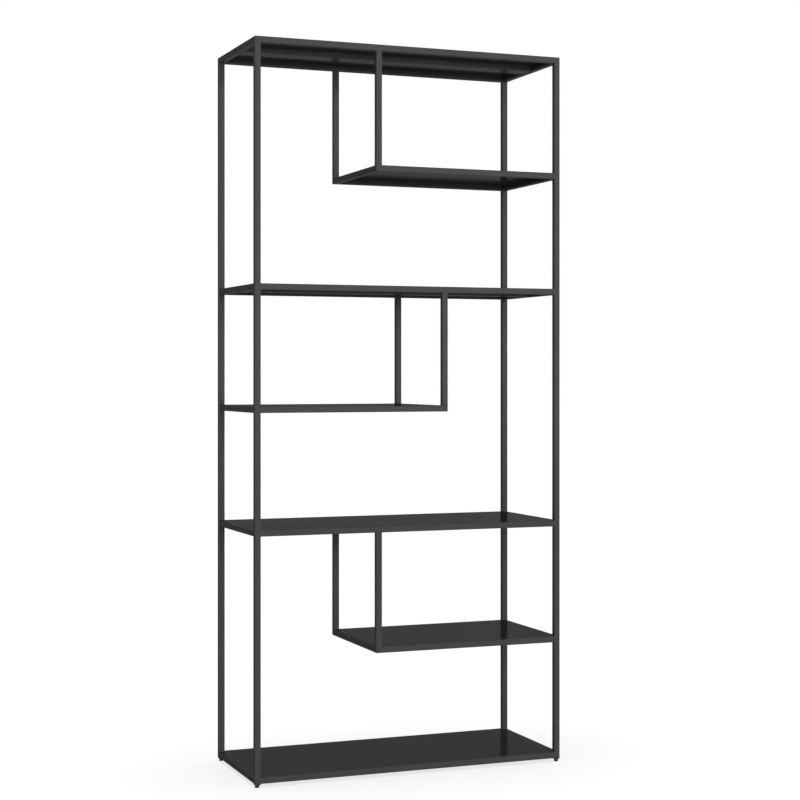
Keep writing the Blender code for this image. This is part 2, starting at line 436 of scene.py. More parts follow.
@dataclass(frozen=True, kw_only=True)
class Finish:
    """What the finishes share: a fine relief all over, and another colour on the edges."""

    name: str
    colour: Colour
    edge_colour: Colour
    edge_share: float
    rough: Span
    cells_per_metre: float
    depth: float
    specular: float

    def dressed(self, effect: NodeTree, given: dict[str, Any], plain: dict[str, float]) -> Material:
        """Build the material: relief and tone from an effect, edges from the thinning effect.

        The edges are where the piece's own "edge" attribute is above 0.

        Args:
            effect: The effect that gives the relief.
            given: What its inputs get, apart from those that every such effect has.
            plain: Values that are the same all over, by the name of the shader's socket.

        Returns:
            The material.
        """
        material = bpy.data.materials.new(self.name)
        material.use_nodes = True
        graph = Graph(material.node_tree)
        position = graph.add("ShaderNodeTexCoord").outputs["Object"]
        edge = graph.add("ShaderNodeAttribute", attribute_name="edge").outputs["Fac"]
        common = {"Position": position, "Cells Per Metre": self.cells_per_metre,
                  "Rough Low": self.rough[0], "Rough High": self.rough[1]}
        relief = graph.add("ShaderNodeGroup", common | given, node_tree=effect).outputs
        thinning = {"Position": position, "Edge": edge, "Amount": self.edge_share}
        mask = graph.add("ShaderNodeGroup", thinning, node_tree=edge_thinning()).outputs["Mask"]
        base = relief["Colour"] if "Colour" in relief else (*self.colour, 1.0)
        bump = {"Strength": 1.0, "Distance": self.depth, "Height": relief["Height"]}
        surface = {"Base Color": graph.blend(mask, base, (*self.edge_colour, 1.0)),
                   "Roughness": relief["Roughness"], "Specular IOR Level": self.specular,
                   "Normal": graph.add("ShaderNodeBump", bump).outputs["Normal"]}
        if "Gloss" in relief:
            surface["Coat Weight"] = relief["Gloss"]
        graph.feed(graph.tree.nodes["Principled BSDF"], surface | plain)
        return material


@dataclass(frozen=True, kw_only=True)
class CoatFinish(Finish):
    """Satin black powder coat: pigment with a thin skin of gloss, orange peel, and thin edges.

    The pigment hardly shines by itself. The skin is the shader's coat, and its weight, the gloss,
    is set so that the shelf tops and the streaks on them render as in the photograph, taking what
    they mirror to be white.
    """

    thin_colour: Colour
    gloss: Span
    skin_roughness: float = 0.14
    specular: float = 0.0

    def material(self) -> Material:
        """Build the material.

        Returns:
            The material.
        """
        given = {"Colour": (*self.colour, 1.0), "Thin Colour": (*self.thin_colour, 1.0),
                 "Gloss Low": self.gloss[0], "Gloss High": self.gloss[1]}
        return self.dressed(coat_relief(), given, {"Coat Roughness": self.skin_roughness})


@dataclass(frozen=True, kw_only=True)
class MouldedFinish(Finish):
    """Plain moulded or cast face with a fine grain and rubbed edges: nylon, zinc or the plug."""

    edge_share: float = 0.7
    metallic: float = 0.0

    def material(self) -> Material:
        """Build the material."""
        return self.dressed(mould_grain(), {}, {"Metallic": self.metallic})


def neutral(level: float) -> Colour:
    """A colour of the same level in red, green and blue."""
    return level, level, level


@dataclass(frozen=True)
class Finishes:
    """Every finish on the unit, as Blender materials."""

    tube: Material
    sheet: Material
    weld: Material
    plug: Material
    nylon: Material
    zinc: Material

    @classmethod
    def made(cls) -> "Finishes":
        """Make them all.

        Returns:
            The finishes.
        """
        tube = CoatFinish(
            name="tube_coat", colour=neutral(0.071), thin_colour=neutral(0.078),
            edge_colour=neutral(0.088), edge_share=0.6, rough=(0.46, 0.58), gloss=(0.055, 0.075),
            cells_per_metre=480.0, depth=0.000010)
        sheet = CoatFinish(
            name="sheet_coat", colour=(0.053, 0.050, 0.048), thin_colour=(0.057, 0.053, 0.051),
            edge_colour=(0.070, 0.067, 0.065), edge_share=0.5, rough=(0.44, 0.56),
            gloss=(0.064, 0.084), cells_per_metre=420.0, depth=0.000008)
        weld = CoatFinish(
            name="weld_coat", colour=neutral(0.071), thin_colour=neutral(0.080),
            edge_colour=neutral(0.088), edge_share=0.4, rough=(0.52, 0.66), gloss=(0.045, 0.065),
            cells_per_metre=900.0, depth=0.000030)
        plug = MouldedFinish(
            name="plug_coat", colour=neutral(0.062), edge_colour=neutral(0.085),
            rough=(0.36, 0.50), cells_per_metre=2600.0, depth=0.000020, specular=0.05)
        nylon = MouldedFinish(
            name="black_nylon", colour=neutral(0.008), edge_colour=neutral(0.016),
            rough=(0.50, 0.68), cells_per_metre=3200.0, depth=0.000030, specular=0.10)
        zinc = MouldedFinish(
            name="bright_zinc", colour=(0.50, 0.51, 0.53), edge_colour=(0.62, 0.63, 0.65),
            rough=(0.28, 0.42), cells_per_metre=1400.0, depth=0.000012, specular=0.5, metallic=1.0)
        return cls(*(finish.material() for finish in (tube, sheet, weld, plug, nylon, zinc)))


@dataclass(frozen=True)
class TubeEnd:
    """One end of a tube: its cut, and the sides (axis across, -1 or 1) that it is dressed flush on."""

    cut: Cut
    flush: tuple[tuple[int, int], ...] = ()


@dataclass
class Tube:
    """A length of square tube, taken from the solid that it stands for.

    A mitred tube's outward is the direction, -1 or 1 across it, that its longer face looks in.
    """

    node: str
    axis: Axis
    low_end: TubeEnd
    high_end: TubeEnd
    outward: int = 0
    corner_rings: int = 6
    past_mitre: float = 1.3 * TUBE
    past_cope: float = 4 * SUPPORT

    def cope(self, section: Array, end: TubeEnd) -> Array:
        """How far the end reaches over its neighbour's round edge, so that the dressed weld is flush.

        On a flush side, a point at depth d below the face reaches r - sqrt(r2 - (r - d)2) past the
        square cut, with r the corner radius, which is where the neighbour's round edge lies.

        Args:
            section: Points of the outline.
            end: The end in question.

        Returns:
            The reach of each point.
        """
        depths = np.stack([TUBE / 2 - sign * section[:, across] for across, sign in end.flush])
        on_corner = (depths < CORNER_RADIUS).sum(axis=0) > 1
        depth = np.where(on_corner, 0.0, depths.min(axis=0)).clip(0.0, CORNER_RADIUS)
        return CORNER_RADIUS - np.sqrt(CORNER_RADIUS**2 - (CORNER_RADIUS - depth) ** 2)

    def end_rings(self, section: Array, end: TubeEnd, bore: bool) -> tuple[Array, Array]:
        """Rings of one end, as distances from its outer corner and first coordinates across.

        A coped end starts past the square cut by its cope. A mitred end starts at the points'
        depth from the outer face, so at 45 degrees, with rings beside it that round the edge where
        two tubes meet: squares about the round's centre become circles, as a point whose larger
        offset from the centre is m moves along its ray to distance m.

        Args:
            section: Points of the outline or the bore.
            end: The end in question.
            bore: True for the bore, which has a plain end ring.

        Returns:
            The distances and the coordinates, rings by points, from the cut inwards.
        """
        count = len(section)
        if end.cut is not Cut.MITRED:
            along = np.zeros((1, count))
            if end.cut is Cut.COPED and not bore:
                along = np.stack([-self.cope(section, end), np.full(count, self.past_cope)])
            return along, np.broadcast_to(section[:, 0], along.shape)
        depth = TUBE / 2 - self.outward * section[:, 0]
        along = depth[None, :]
        if not bore:
            steps = np.linspace(0.0, CORNER_RADIUS, self.corner_rings)
            along = np.concatenate([along + steps[:, None], np.full((1, count), self.past_mitre)])
        depth = np.broadcast_to(depth, along.shape)
        offset_along = (CORNER_RADIUS - along).clip(0.0, None)
        offset_depth = (CORNER_RADIUS - depth).clip(0.0, None)
        reach = np.maximum(np.hypot(offset_along, offset_depth), TINY)
        inside = (offset_along > 0) & (offset_depth > 0)
        scale = np.where(inside, np.maximum(offset_along, offset_depth) / reach, 1.0)
        along = np.where(scale < 1, CORNER_RADIUS - offset_along * scale, along)
        depth = np.where(scale < 1, CORNER_RADIUS - offset_depth * scale, depth)
        return along, self.outward * (TUBE / 2 - depth)

    def rings(self, section: Array, bore: bool) -> Array:
        """Rings of the outline or the bore, in the unit's axes.

        Args:
            section: Points of the outline or the bore.
            bore: True for the bore.

        Returns:
            Rings by points by three, from the low end to the high one.
        """
        run = self.axis.value
        first, second = [across for across in range(3) if across != run]
        box = solid_box(self.node)
        centre = box.mean(axis=0)
        parts = []
        for end, face, sign in ((self.low_end, box[0], 1), (self.high_end, box[1], -1)):
            along, across = self.end_rings(section, end, bore)
            points = np.empty((*along.shape, 3))
            points[..., run] = face[run] - sign * end.cut.value + sign * along
            points[..., first] = centre[first] + across
            points[..., second] = centre[second] + section[:, 1]
            parts.append(points[::sign])
        return np.concatenate(parts)

    def shell(self) -> Shell:
        """The tube's wall: the outline from end to end, then the bore back again.

        Returns:
            The closed shell.
        """
        section, rounded = square_section(TUBE, CORNER_RADIUS)
        bore, _ = square_section(TUBE - 2 * TUBE_WALL, BORE_RADIUS)
        outer, inner = self.rings(section, False), self.rings(bore, True)[::-1]
        edge = np.concatenate([np.tile(rounded, (len(outer), 1)), np.zeros(inner.shape[:2])])
        return swept(np.concatenate([outer, inner]), edge)

    def build(self, finishes: Finishes) -> None:
        """Make the tube and put it in its solid's place."""
        add_piece(f"{self.node}_tube", self.shell(), finishes.tube, [self.node])


# A rail's end between two upright faces of a post, a divider's under a rail, and the plain ones
AGAINST_POST = TubeEnd(Cut.COPED, ((0, -1), (0, 1)))
UNDER_RAIL = TubeEnd(Cut.COPED, ((1, -1), (1, 1)))
MITRE = TubeEnd(Cut.MITRED)
PLAIN = TubeEnd(Cut.PLAIN)


class CornerPosts:
    """The four corner posts, which stand under the mitred top frame."""

    def tubes(self) -> list[Tube]:
        """The posts, each flush at its top with the two outer faces of the frame's corner."""
        return [Tube(f"post_{y_name}_{x_name}", Axis.Z, PLAIN, TubeEnd(Cut.COPED, ((0, x_out), (1, y_out))))
                for y_name, y_out in Y_OUT.items() for x_name, x_out in X_OUT.items()]

    def build(self, finishes: Finishes) -> None:
        """Make the posts."""
        for tube in self.tubes():
            tube.build(finishes)


@dataclass
class Shelf:
    """One shelf: its tubes, its panel, the stiffener of a full shelf or the dividers of a short one."""

    number: int
    side: Side

    @property
    def name(self) -> str:
        """Start of the names of the shelf's solids."""
        return f"shelf_{self.number}"

    @property
    def crown(self) -> bool:
        """True for the top shelf, whose rails are the mitred top frame."""
        return self.number == 1

    @property
    def full(self) -> bool:
        """True where the shelf reaches from post to post."""
        return self.side is Side.BOTH

    @property
    def free_out(self) -> int:
        """Direction, -1 or 1, that a short shelf's free end faces."""
        return -self.side.value

    def rails(self) -> list[Tube]:
        """Front, back and side rails, and a short shelf's end rail.

        Returns:
            One tube for each rail.
        """
        end = MITRE if self.crown else AGAINST_POST
        left = MITRE if self.side is Side.RIGHT else end
        right = MITRE if self.side is Side.LEFT else end
        tubes = [Tube(f"{self.name}_{name}_rail", Axis.X, left, right, out) for name, out in Y_OUT.items()]
        for name, x_out in X_OUT.items():
            if self.full or self.side.value == x_out:
                tubes.append(Tube(f"{self.name}_{name}_rail", Axis.Y, end, end, x_out))
        if not self.full:
            tubes.append(Tube(f"{self.name}_end_rail", Axis.Y, MITRE, MITRE, self.free_out))
        return tubes

    def dividers(self) -> list[Tube]:
        """Divider posts of a short shelf: mitred corner below, rail above.

        Returns:
            The front and the back divider, or none for a full shelf.
        """
        if self.full:
            return []
        return [
            Tube(f"{self.name}_{name}_divider", Axis.Z,
                 TubeEnd(Cut.COPED, ((0, self.free_out), (1, y_out))), UNDER_RAIL)
            for name, y_out in Y_OUT.items()
        ]

    def build(self, finishes: Finishes) -> None:
        """Make every piece of the shelf.

        Args:
            finishes: The unit's finishes.
        """
        for tube in self.rails() + self.dividers():
            tube.build(finishes)
        panel = Panel(f"{self.name}_panel")
        panel.build(finishes)
        if self.full:
            Stiffener(f"{self.name}_stiffener").build(finishes)
        Welds(self, panel).build(finishes)


@dataclass
class Panel:
    """Shelf panel: one sheet with its four edges folded down."""

    node: str
    bend_radius: float = 0.0010
    inner_radius: float = 0.0004
    bend_steps: int = 5
    shear_burr: float = 0.00012
    sag: float = 0.00018
    ripple: float = 0.00004
    columns: int = 40
    rows: int = 22

    def flat(self, inset: float, level: float) -> Array:
        """Flat of the sheet, as a grid of points.

        The sheet dips in the middle by sag times the product of two parabolas that are 0 at the
        edges, times 16 so that the product is 1 in the middle. It carries a slow ripple, a product
        of sines, from the rolling of the sheet.

        Args:
            inset: Distance of the grid's rim from the panel's outer faces.
            level: Height of the rim.

        Returns:
            Rows by columns by three.
        """
        low, high = solid_box(self.node)
        along, across = np.meshgrid(np.linspace(0.0, 1.0, self.columns), np.linspace(0.0, 1.0, self.rows))
        dip = 16 * along * (1 - along) * across * (1 - across)
        waves = np.sin(3 * math.pi * along) * np.sin(2 * math.pi * across)
        places = low[:2] + inset + np.dstack([along, across]) * (high - low - 2 * inset)[:2]
        return raised(places, level - self.sag * dip - self.ripple * waves)

    def fold_profile(self) -> tuple[Array, Array]:
        """Outline of the folded edge: quarter circles at the bend, and a sheared lip between them.

        Returns:
            Distance outward and height of each point, against the outer face and the top, from
            the top flat round to the underside, and how sharp the edge is there.
        """
        low, high = solid_box(self.node)
        depth, burr = high[2] - low[2], self.shear_burr
        arc = unit_circle(quarter_turn(self.bend_steps))[:, ::-1] - 1
        lip = np.array([
            [0.0, -self.bend_radius - SUPPORT, 0.0], [0.0, -depth + 2 * burr, 0.0],
            [0.0, -depth + burr, 1.0], [-burr, -depth, 1.0],
            [burr - SHEET, -depth, 1.0], [-SHEET, -depth + burr, 1.0],
            [-SHEET, -depth + 2 * burr, 0.0], [-SHEET, -SHEET - self.inner_radius - SUPPORT, 0.0]])
        profile = [self.bend_radius * arc, lip[:, :2], self.inner_radius * arc[::-1] - SHEET]
        return np.concatenate(profile), np.r_[np.ones(len(arc)), lip[:, 2], np.zeros(len(arc))]

    def shell(self) -> Shell:
        """The sheet: the top grid, the folded profile carried round its rim, and the underside grid.

        Returns:
            The closed shell.
        """
        low, high = solid_box(self.node)
        top = self.flat(self.bend_radius + SUPPORT, high[2]).reshape(-1, 3)
        under = self.flat(SHEET + self.inner_radius + SUPPORT, high[2] - SHEET).reshape(-1, 3)
        number = np.arange(len(top)).reshape(self.rows, self.columns)
        rim = np.concatenate([number[0, :-1], number[:-1, -1], number[-1, :0:-1], number[:0:-1, 0]])
        offset = top[rim, :2] - (low + high)[:2] / 2
        at_edge = np.abs(offset) > (high - low)[:2] / 2 - self.bend_radius - 2 * SUPPORT
        outward = np.sign(offset) * at_edge
        edge_line = top[rim, :2] + outward * (self.bend_radius + SUPPORT)
        profile, edge = self.fold_profile()
        rings = raised(edge_line + outward * profile[:, None, :1], high[2] + profile[:, 1:])
        points = np.concatenate([top, rings.reshape(-1, 3), under])
        start, last = len(top), len(points) - len(under)
        strip = np.concatenate([rim[None], np.arange(start, last).reshape(rings.shape[:2]), last + rim[None]])
        walls = quads(strip, close_columns=True)[:, [0, 3, 2, 1]]
        sharp = np.concatenate([np.zeros(start), np.repeat(edge, len(rim)), np.zeros(start)])
        return Shell(points, [quads(number), walls, last + quads(number)[:, ::-1]], sharp).outward()

    def build(self, finishes: Finishes) -> None:
        """Make the panel and put it in its solid's place."""
        add_piece(f"{self.node}_sheet", self.shell(), finishes.sheet, [self.node])


@dataclass
class Stiffener:
    """Hat-section stiffener, spot-welded by its lips to the underside of a full shelf."""

    node: str
    width: float = 0.058
    bend_radius: float = 0.0011
    bend_steps: int = 5
    web_points: int = 6
    lip_points: int = 14
    spots: int = 9
    spot_radius: float = 0.0026
    spot_depth: float = 0.00030
    spot_margin: float = 0.030
    spot_rings: int = 11
    spot_reach: float = 1.25

    def middle_line(self) -> tuple[Array, Array]:
        """Middle of the sheet's thickness across the stiffener, and its upward normals.

        The line goes along one lip, down a wall, across the web and up again, with a quarter
        circle at each fold. Only half is worked out, and the other half mirrors it.

        Returns:
            Points across and up, and unit normals, from one lip's edge to the other's.
        """
        low, high = solid_box(self.node)
        lip_level, web_level = high[2] - SHEET / 2, low[2] + SHEET / 2
        wall, radius = self.width / 2 - SHEET / 2, self.bend_radius
        turn = quarter_turn(self.bend_steps)
        down = np.column_stack([np.sin(turn), -np.cos(turn)])
        up = np.column_stack([-np.cos(turn), np.sin(turn)])
        web = np.linspace(0.0, wall - radius - SUPPORT, self.web_points)
        lip = np.linspace(wall + radius + SUPPORT, high[1], self.lip_points)
        line = np.concatenate([
            np.column_stack([web, np.full(len(web), web_level)]),
            np.array([wall - radius, web_level + radius]) + radius * down,
            np.array([wall + radius, lip_level - radius]) + radius * up,
            np.column_stack([lip, np.full(len(lip), lip_level)])])
        upright = np.array([[0.0, 1.0]])
        normal = np.concatenate([upright.repeat(len(web), 0), -down, up, upright.repeat(len(lip), 0)])
        mirror = np.array([-1.0, 1.0])
        return np.concatenate([line[:0:-1] * mirror, line]), np.concatenate([normal[:0:-1] * mirror, normal])

    def lengths(self) -> tuple[Array, Array]:
        """Places along the stiffener where it has a ring, close together at each spot weld.

        Returns:
            The places of the rings, and those of the spot welds.
        """
        low, high = solid_box(self.node)
        spots = np.linspace(low[0] + self.spot_margin, high[0] - self.spot_margin, self.spots)
        near = np.linspace(-self.spot_reach, self.spot_reach, self.spot_rings) * self.spot_radius
        return np.sort(np.r_[low[0], high[0], (spots[:, None] + near).ravel()]), spots

    def shell(self) -> Shell:
        """The folded sheet, its two faces half a sheet either side of the middle line.

        Under each spot weld the lower face is pressed up by depth times (1 - d2 / r2) squared, d
        being the distance from the spot.

        Returns:
            The closed shell.
        """
        line, normal = self.middle_line()
        places, spots = self.lengths()
        upper, lower = line + normal * SHEET / 2, line - normal * SHEET / 2
        count = len(line)
        points = np.empty((len(places), 2 * count, 3))
        points[..., 0] = places[:, None]
        points[..., 1:] = np.concatenate([lower, upper[::-1]])
        lip_middle = (self.width / 2 + solid_box(self.node)[1, 1]) / 2
        nearest = np.abs(places[:, None] - spots).min(axis=1)
        distance = np.hypot(nearest[:, None], np.abs(lower[:, 0]) - lip_middle)
        dimple = (1 - (distance / self.spot_radius) ** 2).clip(0.0, 1.0) ** 2
        points[:, :count, 2] += self.spot_depth * dimple
        edge = np.zeros(points.shape[:2])
        edge[:, [0, count - 1, count, 2 * count - 1]] = 1.0
        number = np.arange(edge.size).reshape(edge.shape)
        cap = quads(np.stack([number[0, :count], number[0, :count - 1:-1]]))
        faces = [quads(number, close_columns=True), cap[:, ::-1], cap + number[-1, 0]]
        return Shell(points.reshape(-1, 3), faces, edge.reshape(-1)).outward()

    def build(self, finishes: Finishes) -> None:
        """Make the stiffener and put it in its solid's place."""
        add_piece(f"{self.node}_hat", self.shell(), finishes.tube, [self.node])


@dataclass
class Welds:
    """Fillet beads in the inner corners of one shelf, and the filled seam round its panel."""

    shelf: Shelf
    panel: Panel
    leg: float = 0.0016
    length: float = TUBE - 1.2 * CORNER_RADIUS
    hollow: float = 0.9
    root: float = -0.08
    end_share: float = 0.25
    end_power: int = 8
    ripple_pitch: float = 0.0011
    ripple_share: float = 0.07
    rings: int = 36
    bead_steps: int = 6
    seam_overlap: float = 0.0002
    seam_sink: float = 0.00003
    seam_dip: float = 0.00006
    seam_depth: float = 0.0014
    seam_points: int = 6

    def bead(self, middle: Array, along: int, faces: Iterable[tuple[int, int]]) -> Shell:
        """A bead along the line where two faces meet at a right angle.

        Its outline is a quarter circle hollow to the corner, carried along the line. The circle's
        radius swells and shrinks with a sine along the line, and falls off at both ends.

        Args:
            middle: Middle of the line.
            along: Axis that the line runs in.
            faces: Axis and direction that each of the two faces looks in.

        Returns:
            The bead's shell.
        """
        share = np.linspace(-1.0, 1.0, self.rings)
        ends = (1 - np.abs(share) ** self.end_power) * (1 - self.end_share) + self.end_share
        swell = np.sin(math.pi * self.length * share / self.ripple_pitch)
        radius = self.leg * ends * (1 + self.ripple_share * swell)
        curve = 1 - self.hollow * unit_circle(quarter_turn(self.bead_steps))
        outline = np.concatenate([[[0.0, 1.0]], curve[1:-1], [[1.0, 0.0], [self.root, self.root]]])
        points = np.tile(middle, (self.rings, len(outline), 1))
        points[..., along] += (share * self.length / 2)[:, None]
        for column, (axis, sign) in enumerate(faces):
            points[..., axis] += sign * radius[:, None] * outline[:, column]
        return swept(points, 0.0, capped=True)

    def end_beads(self, tube: Tube, at_high: bool, facing: int, sides: Iterable[int]) -> list[Shell]:
        """Beads round one end of a tube, on the sides where it stands square to its neighbour.

        Args:
            tube: The tube.
            at_high: True for its high end.
            facing: Axis across the tube that the beads face. They run along the third axis.
            sides: Directions, -1 or 1, of the sides that get a bead.

        Returns:
            One shell for each bead.
        """
        run, inward = tube.axis.value, -1 if at_high else 1
        box = solid_box(tube.node)
        beads = []
        for side in sides:
            middle = box.mean(axis=0)
            middle[run] = box[int(at_high), run] - inward * JOINT_GAP
            middle[facing] += side * TUBE / 2
            beads.append(self.bead(middle, 3 - run - facing, ((facing, side), (run, inward))))
        return beads

    def beads(self) -> list[Shell]:
        """Every bead of the shelf.

        The axes across an upright tube are X and Y, so its flush sides also name the axes that
        its beads face.

        Returns:
            The beads of its rails, its dividers and, on the top shelf, of the posts' tops.
        """
        shells: list[Shell] = []
        for tube in self.shelf.rails():
            for end, at_high in ((tube.low_end, False), (tube.high_end, True)):
                if end.cut is Cut.COPED:
                    shells += self.end_beads(tube, at_high, Axis.Z.value, (-1, 1))
        for tube in self.shelf.dividers():
            shells += self.end_beads(tube, True, Axis.X.value, (-1, 1))
            for facing, out in tube.low_end.flush:
                shells += self.end_beads(tube, False, facing, (-out,))
        for tube in CornerPosts().tubes() if self.shelf.crown else ():
            for facing, out in tube.high_end.flush:
                shells += self.end_beads(tube, True, facing, (-out,))
        return shells

    def seam(self) -> Shell:
        """Filled seam between the panel's bend and the rails' round edges.

        The outline is a wedge whose top is half a wave of a sine deep, carried round the panel.

        Returns:
            The seam's shell.
        """
        low, high = solid_box(self.panel.node)
        outer = CORNER_RADIUS + JOINT_GAP + self.seam_overlap
        across = np.linspace(outer, -self.panel.bend_radius - self.seam_overlap, self.seam_points)
        wave = np.sin(np.linspace(0.0, math.pi, self.seam_points))
        top = np.column_stack([across, -self.seam_sink - self.seam_dip * wave])
        outline = np.concatenate([top, [[JOINT_GAP / 2, -self.seam_depth]]])
        turns = np.array([[-1.0, -1.0], [1.0, -1.0], [1.0, 1.0], [-1.0, 1.0]])
        centre, half = (low + high)[:2] / 2, (high - low)[:2] / 2
        places = centre + turns[:, None, :] * (half + outline[None, :, :1])
        return swept(raised(places, high[2] + outline[:, 1]), 0.0)

    def build(self, finishes: Finishes) -> None:
        """Make the beads as one piece and the seam as another."""
        add_piece(f"{self.shelf.name}_weld_beads", Shell.joined(self.beads()), finishes.weld)
        add_piece(f"{self.shelf.name}_seam_fill", self.seam(), finishes.sheet)


@dataclass
class Foot:
    """One foot: the tapered plug in the post's end, and the glide that screws up into it."""

    corner: str
    brim_height: float = 0.0009
    chamfer: float = 0.0003
    tip_radius: float = 0.0056
    tip_edge: float = 0.0005
    taper_rings: int = 9
    taper_power: float = 1.15
    bore_radius: float = 0.0031
    shank_side: float = TUBE - 2 * TUBE_WALL - 2 * JOINT_GAP
    flat_sharpness: float = 0.35
    # Radius, height and sharpness, from the face on the floor up to the neck
    pad_outline: tuple[tuple[float, float, float], ...] = (
        (0.0044, 0.0, 0.0), (0.0048, 0.0001, 0.3), (0.0050, 0.0004, 1.0), (0.0052, 0.0008, 0.5),
        (0.0052, 0.0014, 0.0), (0.0052, 0.0022, 0.0), (0.0052, 0.0029, 0.3), (0.0050, 0.0033, 1.0),
        (0.0046, 0.0036, 0.6), (0.0029, 0.0036, 0.0))
    flutes: int = 12
    points_per_flute: int = 8
    flute_depth: float = 0.00022
    flute_heights: tuple[float, ...] = (0.0007, 0.0013, 0.0026, 0.0032)
    stud_bottom: float = 0.0032
    stud_radius: float = 0.0030
    stud_neck: float = 0.0006
    stud_chamfer: float = 0.0006
    stud_rings: int = 215
    stud_sides: int = 28
    thread_pitch: float = 0.0010
    thread_depth: float = 0.00055
    thread_run_out: float = 0.0008
    thread_end_share: float = 0.3

    @property
    def plug_node(self) -> str:
        """Name of the plug's solid."""
        return f"foot_plug_{self.corner}"

    @property
    def glide_node(self) -> str:
        """Name of the glide's solid."""
        return f"levelling_glide_{self.corner}"

    def plug(self) -> Shell:
        """Tapered plug: rings from the bore round the tip, up the taper to the brim, and up the shank.

        Between the tip and the brim each ring is (1 - w) times a circle plus w times the tube's
        rounded square, w rising from 0 to 1 with the height, a little faster near the tip.

        Returns:
            The plug's shell.
        """
        box = solid_box(self.plug_node)
        low, high = box[:, 2]
        square, rounded = square_section(TUBE, CORNER_RADIUS)
        shank, _ = square_section(self.shank_side, CORNER_RADIUS / 2)
        circle = unit_circle(np.arctan2(square[:, 1], square[:, 0]))
        brim_top = solid_box(f"post_{self.corner}")[0, 2] - JOINT_GAP / 2
        brim_low = brim_top - self.brim_height
        share = np.linspace(0.0, 1.0, self.taper_rings)
        spread = (1 - (1 - share) ** self.taper_power)[:, None, None]
        taper = (1 - spread) * circle * self.tip_radius + spread * square
        taper_height = low + self.tip_edge + share * (brim_low - low - self.tip_edge)
        taper_sharp = [1.0, *([0.0] * (self.taper_rings - 2)), 0.6]
        trimmed = square * ((TUBE / 2 - self.chamfer) / (TUBE / 2))
        outlines, heights, sharp = zip(
            (circle * self.bore_radius, low, 0.0), (circle * (self.tip_radius - self.tip_edge), low, 1.0),
            *zip(taper, taper_height, taper_sharp),
            (square, brim_top - self.chamfer, 1.0), (trimmed, brim_top, 0.6),
            (shank, brim_top, 0.0), (shank, high, 0.0), (circle * self.bore_radius, high, 0.0))
        points = raised(np.stack(outlines) + box.mean(axis=0)[:2], np.array(heights)[:, None])
        return swept(points, np.array(sharp)[:, None] * np.maximum(rounded, self.flat_sharpness))

    def turned(self, radius: Array, height: Array, sharp: Array) -> Shell:
        """Close a grid of radii and heights, rings by angles, round the glide's axis.

        Args:
            radius: Distance from the axis, rings by angles.
            height: Height, one for each ring.
            sharp: How sharp the edge is, one for each ring.

        Returns:
            The shell, with a flat face at each end.
        """
        around = radius[..., None] * unit_circle(full_turn(radius.shape[1]))
        places = around + solid_box(self.glide_node).mean(axis=0)[:2]
        return swept(raised(places, height[:, None]), sharp[:, None], capped=True)

    def pad(self) -> Shell:
        """Nylon pad: a turned outline with shallow flutes round its side for the fingers.

        The side's radius is less by the flute depth times a raised cosine of the angle, cubed.

        Returns:
            The pad's shell.
        """
        radius, height, sharp = np.array(self.pad_outline).T
        fluted = np.interp(height, self.flute_heights, (0.0, 1.0, 1.0, 0.0))
        angle = full_turn(self.points_per_flute * self.flutes)
        wave = (0.5 - 0.5 * np.cos(self.flutes * angle)) ** 3
        return self.turned(radius[:, None] - self.flute_depth * fluted[:, None] * wave, height, sharp)

    def stud(self) -> Shell:
        """Threaded stud: the radius is the crest less the thread's depth times a triangle wave.

        The wave's phase is the height over the pitch less the angle over a full turn, so that it
        winds upward, and the thread runs out into a plain neck below and a chamfer above.

        Returns:
            The stud's shell.
        """
        bottom, top, neck = self.stud_bottom, solid_box(self.glide_node)[1, 2], self.stud_neck
        height = np.linspace(bottom, top, self.stud_rings)
        phase = height[:, None] / self.thread_pitch - full_turn(self.stud_sides) / (2 * math.pi)
        wave = np.abs(2 * (phase % 1.0) - 1)
        thread_heights = (bottom + neck, bottom + 2 * neck, top - self.thread_run_out, top)
        thread = self.thread_depth * np.interp(height, thread_heights, (0.0, 1.0, 1.0, self.thread_end_share))
        crest = np.interp(height, (bottom, top - self.stud_chamfer, top), (0.0, 0.0, self.stud_chamfer))
        radius = self.stud_radius - crest[:, None] - thread[:, None] * wave
        return self.turned(radius, height, np.zeros(len(height)))

    def build(self, finishes: Finishes) -> None:
        """Make the plug, the pad and the stud. The last two ride on the glide's own body.

        Args:
            finishes: The unit's finishes.
        """
        body = f"{self.corner}_glide"
        add_piece(f"{self.plug_node}_body", self.plug(), finishes.plug, [self.plug_node])
        add_piece(f"{self.glide_node}_pad", self.pad(), finishes.nylon, [self.glide_node], body)
        add_piece(f"{self.glide_node}_stud", self.stud(), finishes.zinc, body=body)


@dataclass(frozen=True)
class Softbox:
    """A soft lamp: where it hangs, what it points at, its size and how bright its face is."""

    name: str
    location: tuple[float, float, float]
    target: tuple[float, float, float]
    size: tuple[float, float]
    brightness: float

    def build(self) -> Object:
        """Hang the lamp. Its power is pi times its area times the brightness of its face.

        Returns:
            The lamp, which the camera doesn't see.
        """
        data = bpy.data.lights.new(self.name, "AREA")
        data.shape = "RECTANGLE"
        data.size, data.size_y = self.size
        data.energy = math.pi * self.size[0] * self.size[1] * self.brightness
        lamp = add_object(self.name, data)
        right, ahead, up = np.array(self.target) - np.array(self.location)
        lamp.location = self.location
        lamp.rotation_euler = (math.atan2(math.hypot(right, ahead), -up), 0.0, math.atan2(-right, ahead))
        lamp.visible_camera = False
        return lamp


